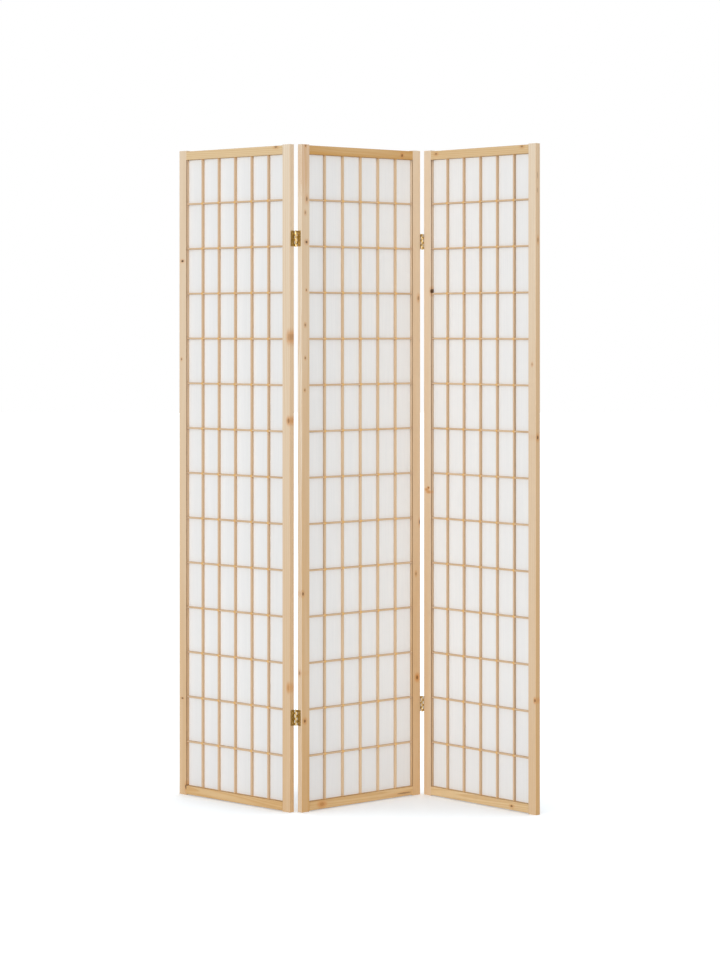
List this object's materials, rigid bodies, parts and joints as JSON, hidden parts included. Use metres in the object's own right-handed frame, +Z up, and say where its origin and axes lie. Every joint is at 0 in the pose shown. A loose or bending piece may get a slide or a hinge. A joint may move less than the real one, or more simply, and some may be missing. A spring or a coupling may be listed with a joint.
{
  "type": "folding screen",
  "caption": "Tall folding screen: light wooden panels with a slat lattice over white paper, joined by brass hinges into a standing zigzag.",
  "frame": {"origin": "on the floor, at the middle of the footprint of the half-folded screen as the picture shows it", "axes": "+Z up; the lattice side faces -Y; the zigzag runs along X, with the left panel at -X"},
  "size_m": [0.9332, 0.3112, 1.7],
  "materials": {
    "pine_stile": "satin",
    "pine_rail": "satin",
    "pine_slat": "satin",
    "dowel_wood": "matte",
    "paper": "matte",
    "brass_leaf": "satin",
    "brass_pin": "satin",
    "brass_screw": "satin"
  },
  "bodies": {
    "middle_panel": {"middle_panel_left_stile": "pine_stile", "middle_panel_right_stile": "pine_stile", "middle_panel_top_rail": "pine_rail", "middle_panel_bottom_rail": "pine_rail", "middle_panel_uprights": "pine_slat", "middle_panel_cross_slats": "pine_slat", "middle_panel_paper": "paper", "middle_panel_dowels": "dowel_wood", "middle_panel_screws": "brass_screw", "left_upper_hinge_inner_leaf": "brass_leaf", "left_upper_hinge_pin": "brass_pin", "left_lower_hinge_inner_leaf": "brass_leaf", "left_lower_hinge_pin": "brass_pin", "right_upper_hinge_inner_leaf": "brass_leaf", "right_upper_hinge_pin": "brass_pin", "right_lower_hinge_inner_leaf": "brass_leaf", "right_lower_hinge_pin": "brass_pin"},
    "left_panel": {"left_panel_left_stile": "pine_stile", "left_panel_right_stile": "pine_stile", "left_panel_top_rail": "pine_rail", "left_panel_bottom_rail": "pine_rail", "left_panel_uprights": "pine_slat", "left_panel_cross_slats": "pine_slat", "left_panel_paper": "paper", "left_panel_dowels": "dowel_wood", "left_panel_screws": "brass_screw", "left_upper_hinge_outer_leaf": "brass_leaf", "left_lower_hinge_outer_leaf": "brass_leaf"},
    "right_panel": {"right_panel_left_stile": "pine_stile", "right_panel_right_stile": "pine_stile", "right_panel_top_rail": "pine_rail", "right_panel_bottom_rail": "pine_rail", "right_panel_uprights": "pine_slat", "right_panel_cross_slats": "pine_slat", "right_panel_paper": "paper", "right_panel_dowels": "dowel_wood", "right_panel_screws": "brass_screw", "right_upper_hinge_outer_leaf": "brass_leaf", "right_lower_hinge_outer_leaf": "brass_leaf"}
  },
  "joints": [
    {"name": "left_fold", "type": "hinge", "parent": "middle_panel", "child": "left_panel", "pos_m": [-0.15228, -0.10745, 0.85], "axis": [0, 0, -1], "range_deg": [-88.7, 98.8]},
    {"name": "right_fold", "type": "hinge", "parent": "middle_panel", "child": "right_panel", "pos_m": [0.17492, 0.13248, 0.85], "axis": [0, 0, -1], "range_deg": [-93.6, 93.9]}
  ]
}
